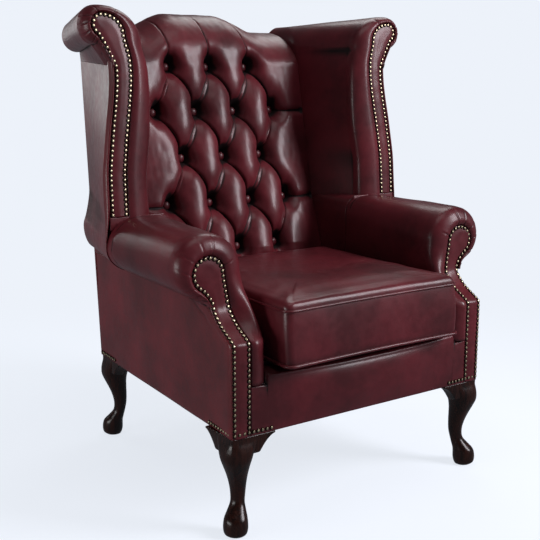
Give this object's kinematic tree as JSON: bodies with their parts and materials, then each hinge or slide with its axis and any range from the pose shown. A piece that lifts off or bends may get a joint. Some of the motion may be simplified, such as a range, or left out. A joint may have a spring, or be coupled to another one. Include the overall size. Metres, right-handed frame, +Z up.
{
  "type": "button-backed wing chair",
  "caption": "Leather wing chair with a deep-buttoned leaning back, rolled arms and wings, a loose seat cushion, close-nailed edges and cabriole legs.",
  "frame": {"origin": "on the floor under the middle of the chair's bounding box", "axes": "+Z up, -Y the way the sitter faces, +X the sitter's left"},
  "size_m": [0.886, 0.8103, 1.0681],
  "materials": {
    "leather": "glossy, hand-antiqued",
    "beech": "sawn, unfinished",
    "mahogany": "stained dark, gloss lacquer",
    "antique_nail": "antiqued domed heads",
    "steel": "zinc plated",
    "jute": "woven strap",
    "black_felt": "thin spun cloth",
    "foam": "open-cell foam",
    "deck_cloth": "stuffed platform under plain cloth",
    "zip_tape": "woven tape with a nylon coil",
    "zip_metal": "die-cast, satin"
  },
  "bodies": {
    "chair": {"front_seat_rail": "beech", "rear_seat_rail": "beech", "left_seat_rail": "beech", "right_seat_rail": "beech", "corner_blocks": "beech", "left_arm_post": "beech", "right_arm_post": "beech", "left_arm_rail": "beech", "right_arm_rail": "beech", "left_back_post": "beech", "right_back_post": "beech", "crest_rail": "beech", "lower_back_rail": "beech", "left_wing_post": "beech", "right_wing_post": "beech", "left_wing_rail": "beech", "right_wing_rail": "beech", "seat_webbing": "jute", "back_webbing": "jute", "front_left_leg": "mahogany", "front_right_leg": "mahogany", "rear_left_leg": "mahogany", "rear_right_leg": "mahogany", "knee_blocks": "mahogany", "leg_bolts": "steel", "seat_deck": "deck_cloth", "front_border": "leather", "inside_back": "leather", "back_buttons": "leather", "outside_back": "leather", "left_inside_arm": "leather", "right_inside_arm": "leather", "left_outside_arm": "leather", "right_outside_arm": "leather", "left_arm_facing": "leather", "right_arm_facing": "leather", "left_arm_nails": "antique_nail", "right_arm_nails": "antique_nail", "left_inside_wing": "leather", "right_inside_wing": "leather", "left_outside_wing": "leather", "right_outside_wing": "leather", "left_wing_facing": "leather", "right_wing_facing": "leather", "left_wing_nails": "antique_nail", "right_wing_nails": "antique_nail", "base_nails": "antique_nail", "dust_cover": "black_felt"},
    "cushion": {"cushion_core": "foam", "cushion_cover": "leather", "cushion_piping_top": "leather", "cushion_piping_bottom": "leather", "zip_tape": "zip_tape"},
    "zip_pull": {"zip_slider": "zip_metal"}
  },
  "joints": [
    {"name": "cushion_lift", "type": "slide", "parent": "chair", "child": "cushion", "axis": [0, 0, 1], "range_m": [0, 0.8]},
    {"name": "zip_slider_run", "type": "slide", "parent": "cushion", "child": "zip_pull", "axis": [1, 0, 0], "range_m": [0, 0.38]}
  ]
}
